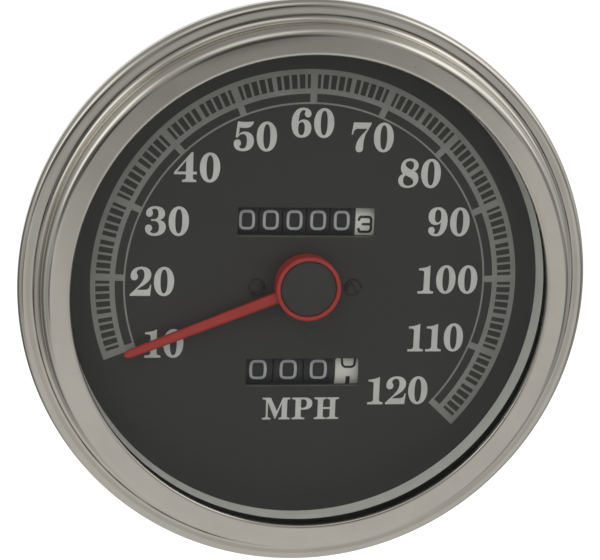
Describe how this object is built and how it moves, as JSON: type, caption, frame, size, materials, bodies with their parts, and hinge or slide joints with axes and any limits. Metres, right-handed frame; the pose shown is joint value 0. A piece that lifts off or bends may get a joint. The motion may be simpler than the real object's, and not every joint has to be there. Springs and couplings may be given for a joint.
{
  "type": "speedometer",
  "caption": "Round cable-driven speedometer with a stepped chrome bezel, flat glass, red pointer, odometer and trip meter over a plated steel case.",
  "frame": {"origin": "centre of the stud pattern on the back face of the case", "axes": "the dial faces -Y, the drive cable leaves along +Y, and the top of the dial is +Z"},
  "size_m": [0.127, 0.0852, 0.127],
  "materials": {
    "chrome": "polished",
    "glass": "clear",
    "rubber": "matt",
    "pale_ring": "matt",
    "dial_black": "matt",
    "black_screw": "satin",
    "zinc_case": "zinc plated",
    "zinc_steel": "zinc plated",
    "die_cast": "cast",
    "lamp_glass": "clear",
    "brass": "turned",
    "steel": "turned",
    "pointer_red": "satin",
    "cap_grey": "matt",
    "aluminium": "spun",
    "magnet": "matt",
    "nylon": "moulded",
    "wheel_black": "moulded",
    "wheel_ivory": "moulded",
    "knob_black": "moulded"
  },
  "bodies": {
    "case": {"bezel": "chrome", "lens": "glass", "lens_gasket": "rubber", "case_seal": "rubber", "dial_ring": "pale_ring", "dial": "dial_black", "dial_screws": "black_screw", "housing": "zinc_case", "mounting_studs": "zinc_steel", "drive_boss": "die_cast", "case_screws": "zinc_steel", "lamp_sockets": "zinc_steel", "lamps": "lamp_glass", "reset_bush": "brass", "movement_frame": "die_cast", "bearing_bush": "brass", "top_bridge": "die_cast", "left_side_plate": "steel", "right_side_plate": "steel", "odometer_arbor": "steel", "pinion_rods": "steel", "idler_pin": "steel", "field_cup": "steel", "hairspring": "brass"},
    "needle": {"pointer": "pointer_red", "pointer_cap": "cap_grey", "pointer_staff": "steel", "speed_cup": "aluminium", "spring_collet": "brass"},
    "spindle": {"drive_spindle": "steel", "magnet": "magnet"},
    "cross_drive": {"cross_shaft": "steel", "cross_wheel": "nylon"},
    "lay_drive": {"lay_shaft": "steel", "lay_wheel": "nylon"},
    "odometer_digit_1": {"odometer_wheel_1": "wheel_black"},
    "odometer_digit_2": {"odometer_wheel_2": "wheel_black"},
    "odometer_digit_3": {"odometer_wheel_3": "wheel_black"},
    "odometer_digit_4": {"odometer_wheel_4": "wheel_black"},
    "odometer_digit_5": {"odometer_wheel_5": "wheel_black"},
    "odometer_digit_6": {"odometer_wheel_6": "wheel_ivory", "odometer_gear": "nylon"},
    "odometer_carry_1": {"odometer_pinion_1": "nylon"},
    "odometer_carry_2": {"odometer_pinion_2": "nylon"},
    "odometer_carry_3": {"odometer_pinion_3": "nylon"},
    "odometer_carry_4": {"odometer_pinion_4": "nylon"},
    "odometer_carry_5": {"odometer_pinion_5": "nylon"},
    "idler": {"idler_gear": "nylon"},
    "trip_digit_1": {"trip_wheel_1": "wheel_black"},
    "trip_digit_2": {"trip_wheel_2": "wheel_black"},
    "trip_digit_3": {"trip_wheel_3": "wheel_black"},
    "trip_digit_4": {"trip_wheel_4": "wheel_ivory", "trip_gear": "nylon"},
    "trip_carry_1": {"trip_pinion_1": "nylon"},
    "trip_carry_2": {"trip_pinion_2": "nylon"},
    "trip_carry_3": {"trip_pinion_3": "nylon"},
    "trip_shaft": {"trip_arbor": "steel", "reset_gear": "brass"},
    "reset": {"reset_stem": "steel", "reset_knob": "knob_black"}
  },
  "joints": [
    {"name": "pointer_swing", "type": "hinge", "parent": "case", "child": "needle", "pos_m": [0, -0.056, 0], "axis": [0, 1, 0], "range_deg": [0, 246], "stiffness_Nm_per_rad": 0.0005, "springref_deg": -28.65},
    {"name": "drive_spin", "type": "hinge", "parent": "case", "child": "spindle", "pos_m": [0, -0.056, 0], "axis": [0, 1, 0], "continuous": true},
    {"name": "cross_spin", "type": "hinge", "parent": "case", "child": "cross_drive", "pos_m": [0, -0.0087, 0.00762], "axis": [1, 0, 0], "continuous": true},
    {"name": "lay_spin", "type": "hinge", "parent": "case", "child": "lay_drive", "pos_m": [0.02079, -0.0087, 0.02022], "axis": [0, -1, 0], "continuous": true},
    {"name": "odometer_turn_6", "type": "hinge", "parent": "case", "child": "odometer_digit_6", "pos_m": [0.01333, -0.0442, 0.014], "axis": [1, 0, 0], "continuous": true},
    {"name": "odometer_turn_5", "type": "hinge", "parent": "case", "child": "odometer_digit_5", "pos_m": [0.008, -0.0442, 0.014], "axis": [1, 0, 0], "continuous": true},
    {"name": "odometer_turn_4", "type": "hinge", "parent": "case", "child": "odometer_digit_4", "pos_m": [0.00266, -0.0442, 0.014], "axis": [1, 0, 0], "continuous": true},
    {"name": "odometer_turn_3", "type": "hinge", "parent": "case", "child": "odometer_digit_3", "pos_m": [-0.00266, -0.0442, 0.014], "axis": [1, 0, 0], "continuous": true},
    {"name": "odometer_turn_2", "type": "hinge", "parent": "case", "child": "odometer_digit_2", "pos_m": [-0.008, -0.0442, 0.014], "axis": [1, 0, 0], "continuous": true},
    {"name": "odometer_turn_1", "type": "hinge", "parent": "case", "child": "odometer_digit_1", "pos_m": [-0.01333, -0.0442, 0.014], "axis": [1, 0, 0], "continuous": true},
    {"name": "odometer_carry_turn_5", "type": "hinge", "parent": "case", "child": "odometer_carry_5", "pos_m": [0.01066, -0.0442, 0.02602], "axis": [1, 0, 0], "continuous": true},
    {"name": "odometer_carry_turn_4", "type": "hinge", "parent": "case", "child": "odometer_carry_4", "pos_m": [0.00533, -0.0442, 0.02602], "axis": [1, 0, 0], "continuous": true},
    {"name": "odometer_carry_turn_3", "type": "hinge", "parent": "case", "child": "odometer_carry_3", "pos_m": [0, -0.0442, 0.02602], "axis": [1, 0, 0], "continuous": true},
    {"name": "odometer_carry_turn_2", "type": "hinge", "parent": "case", "child": "odometer_carry_2", "pos_m": [-0.00533, -0.0442, 0.02602], "axis": [1, 0, 0], "continuous": true},
    {"name": "odometer_carry_turn_1", "type": "hinge", "parent": "case", "child": "odometer_carry_1", "pos_m": [-0.01066, -0.0442, 0.02602], "axis": [1, 0, 0], "continuous": true},
    {"name": "idler_turn", "type": "hinge", "parent": "case", "child": "idler", "pos_m": [0.02079, -0.0442, -0.0032], "axis": [1, 0, 0], "continuous": true},
    {"name": "trip_turn_4", "type": "hinge", "parent": "case", "child": "trip_digit_4", "pos_m": [0.011, -0.0442, -0.0204], "axis": [1, 0, 0], "continuous": true},
    {"name": "trip_turn_3", "type": "hinge", "parent": "case", "child": "trip_digit_3", "pos_m": [0.0041, -0.0442, -0.0204], "axis": [1, 0, 0], "continuous": true},
    {"name": "trip_turn_2", "type": "hinge", "parent": "case", "child": "trip_digit_2", "pos_m": [-0.0028, -0.0442, -0.0204], "axis": [1, 0, 0], "continuous": true},
    {"name": "trip_turn_1", "type": "hinge", "parent": "case", "child": "trip_digit_1", "pos_m": [-0.0097, -0.0442, -0.0204], "axis": [1, 0, 0], "continuous": true},
    {"name": "trip_carry_turn_3", "type": "hinge", "parent": "case", "child": "trip_carry_3", "pos_m": [0.00755, -0.0442, -0.00838], "axis": [1, 0, 0], "continuous": true},
    {"name": "trip_carry_turn_2", "type": "hinge", "parent": "case", "child": "trip_carry_2", "pos_m": [0.00065, -0.0442, -0.00838], "axis": [1, 0, 0], "continuous": true},
    {"name": "trip_carry_turn_1", "type": "hinge", "parent": "case", "child": "trip_carry_1", "pos_m": [-0.00625, -0.0442, -0.00838], "axis": [1, 0, 0], "continuous": true},
    {"name": "reset_turn", "type": "hinge", "parent": "case", "child": "reset", "pos_m": [0.04, -0.0442, -0.03102], "axis": [1, 0, 0], "continuous": true},
    {"name": "trip_shaft_turn", "type": "hinge", "parent": "case", "child": "trip_shaft", "pos_m": [0, -0.0442, -0.0204], "axis": [1, 0, 0], "continuous": true}
  ],
  "couplings": [
    {"joint": "cross_spin", "follows": "drive_spin", "ratio": -0.071429},
    {"joint": "lay_spin", "follows": "drive_spin", "ratio": 0.0044643},
    {"joint": "odometer_turn_6", "follows": "drive_spin", "ratio": -0.00044643},
    {"joint": "odometer_turn_5", "follows": "drive_spin", "ratio": -0.000044643},
    {"joint": "odometer_turn_4", "follows": "drive_spin", "ratio": -0.0000044643},
    {"joint": "odometer_turn_3", "follows": "drive_spin", "ratio": -0.00000044643},
    {"joint": "odometer_turn_2", "follows": "drive_spin", "ratio": -0.000000044643},
    {"joint": "odometer_turn_1", "follows": "drive_spin", "ratio": -0.0000000044643},
    {"joint": "odometer_carry_turn_5", "follows": "drive_spin", "ratio": 0.00011161},
    {"joint": "odometer_carry_turn_4", "follows": "drive_spin", "ratio": 0.000011161},
    {"joint": "odometer_carry_turn_3", "follows": "drive_spin", "ratio": 0.0000011161},
    {"joint": "odometer_carry_turn_2", "follows": "drive_spin", "ratio": 0.00000011161},
    {"joint": "odometer_carry_turn_1", "follows": "drive_spin", "ratio": 0.000000011161},
    {"joint": "idler_turn", "follows": "drive_spin", "ratio": 0.00042857},
    {"joint": "trip_turn_4", "follows": "drive_spin", "ratio": -0.00044643},
    {"joint": "trip_turn_3", "follows": "drive_spin", "ratio": -0.000044643},
    {"joint": "trip_turn_2", "follows": "drive_spin", "ratio": -0.0000044643},
    {"joint": "trip_turn_1", "follows": "drive_spin", "ratio": -0.00000044643},
    {"joint": "trip_carry_turn_3", "follows": "drive_spin", "ratio": 0.00011161},
    {"joint": "trip_carry_turn_2", "follows": "drive_spin", "ratio": 0.000011161},
    {"joint": "trip_carry_turn_1", "follows": "drive_spin", "ratio": 0.0000011161},
    {"joint": "trip_shaft_turn", "follows": "reset_turn", "ratio": -0.66667}
  ]
}
